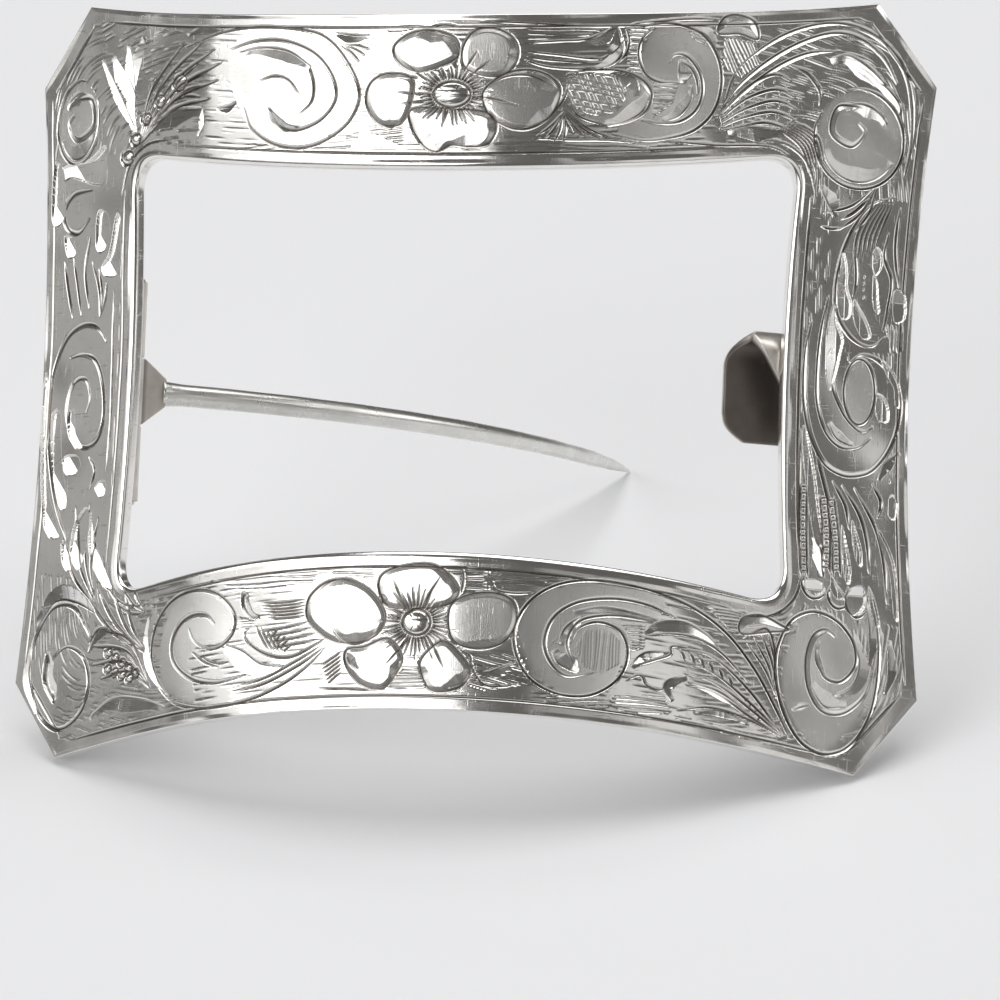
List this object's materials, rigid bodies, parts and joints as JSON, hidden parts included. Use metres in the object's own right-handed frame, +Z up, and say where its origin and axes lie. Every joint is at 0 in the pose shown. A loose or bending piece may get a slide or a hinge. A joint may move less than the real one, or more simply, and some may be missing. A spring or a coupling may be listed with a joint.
{
  "type": "belt buckle",
  "caption": "Bowed, engraved silver belt buckle with clipped corners and a large opening, a pin that swings on a hinge behind one side bar, and a hooked catch behind the other.",
  "frame": {"origin": "middle of the footprint, on the surface that the buckle stands on", "axes": "+X along the buckle's width, to the right as seen from the front; +Y to the back, where the pin reaches; +Z up. The plate leans back 33.4 degrees on the point of its open pin."},
  "size_m": [0.057, 0.0494, 0.0433],
  "materials": {
    "engraved_silver": "polished sterling silver, bright cut, with fine scratches and a little tarnish",
    "fitting_silver": "worn silver with a warm tarnish",
    "pin_wire": "drawn white-metal wire, smooth"
  },
  "bodies": {
    "buckle": {"frame": "engraved_silver", "hinge_plate": "fitting_silver", "hinge_knuckle_upper": "fitting_silver", "hinge_knuckle_lower": "fitting_silver", "hinge_rod": "fitting_silver", "catch_hook": "fitting_silver"},
    "pin": {"pin_root": "fitting_silver", "pin_stem": "pin_wire"}
  },
  "joints": [
    {"name": "pin_swing", "type": "hinge", "parent": "buckle", "child": "pin", "pos_m": [-0.02153, -0.00471, 0.01942], "axis": [0, 0.5502, 0.835], "range_deg": [-54.9, 65]}
  ]
}
